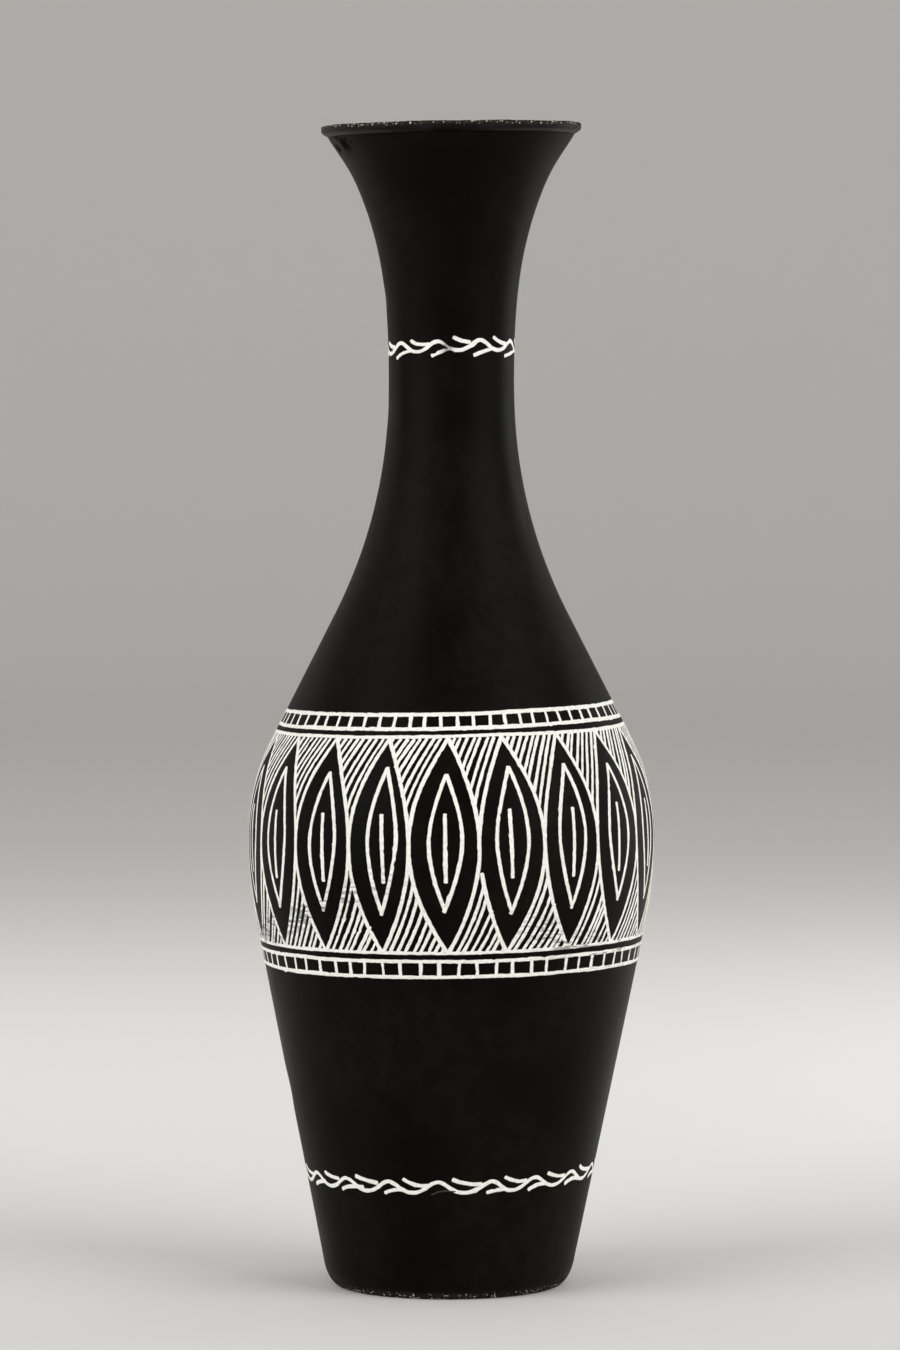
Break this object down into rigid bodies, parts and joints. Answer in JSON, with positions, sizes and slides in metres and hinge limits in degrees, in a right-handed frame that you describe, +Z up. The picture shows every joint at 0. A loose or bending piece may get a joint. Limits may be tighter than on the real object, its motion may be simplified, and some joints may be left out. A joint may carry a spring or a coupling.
{
  "type": "tall black clay vase",
  "caption": "Tall narrow-necked vase of burnished black clay with a flared mouth and white inlaid bands of vines, ladders and leaves.",
  "frame": {"origin": "centre of the flat underside of the foot, on the vase's axis", "axes": "+Z up along the vase's axis; -Y faces the viewer of the front, +X is the viewer's right; the front is only a choice, as the bands repeat all round"},
  "size_m": [0.1414, 0.1414, 0.4],
  "materials": {
    "black_clay": "satin",
    "white_inlay": "matte"
  },
  "bodies": {
    "root": {"base_pat": "black_clay", "lower_wall": "black_clay", "belly_wall": "black_clay", "shoulder_wall": "black_clay", "neck_wall": "black_clay", "mouth_flare": "black_clay", "lip_coil": "black_clay", "neck_vine_inlay": "white_inlay", "upper_ladder_inlay": "white_inlay", "leaf_field_inlay": "white_inlay", "lower_ladder_inlay": "white_inlay", "foot_vine_inlay": "white_inlay", "leaf_01_inlay": "white_inlay", "midrib_01_inlay": "white_inlay", "leaf_02_inlay": "white_inlay", "midrib_02_inlay": "white_inlay", "leaf_03_inlay": "white_inlay", "midrib_03_inlay": "white_inlay", "leaf_04_inlay": "white_inlay", "midrib_04_inlay": "white_inlay", "leaf_05_inlay": "white_inlay", "midrib_05_inlay": "white_inlay", "leaf_06_inlay": "white_inlay", "midrib_06_inlay": "white_inlay", "leaf_07_inlay": "white_inlay", "midrib_07_inlay": "white_inlay", "leaf_08_inlay": "white_inlay", "midrib_08_inlay": "white_inlay", "leaf_09_inlay": "white_inlay", "midrib_09_inlay": "white_inlay", "leaf_10_inlay": "white_inlay", "midrib_10_inlay": "white_inlay", "leaf_11_inlay": "white_inlay", "midrib_11_inlay": "white_inlay", "leaf_12_inlay": "white_inlay", "midrib_12_inlay": "white_inlay", "leaf_13_inlay": "white_inlay", "midrib_13_inlay": "white_inlay", "leaf_14_inlay": "white_inlay", "midrib_14_inlay": "white_inlay", "leaf_15_inlay": "white_inlay", "midrib_15_inlay": "white_inlay", "leaf_16_inlay": "white_inlay", "midrib_16_inlay": "white_inlay", "leaf_17_inlay": "white_inlay", "midrib_17_inlay": "white_inlay", "leaf_18_inlay": "white_inlay", "midrib_18_inlay": "white_inlay", "leaf_19_inlay": "white_inlay", "midrib_19_inlay": "white_inlay"}
  },
  "joints": []
}
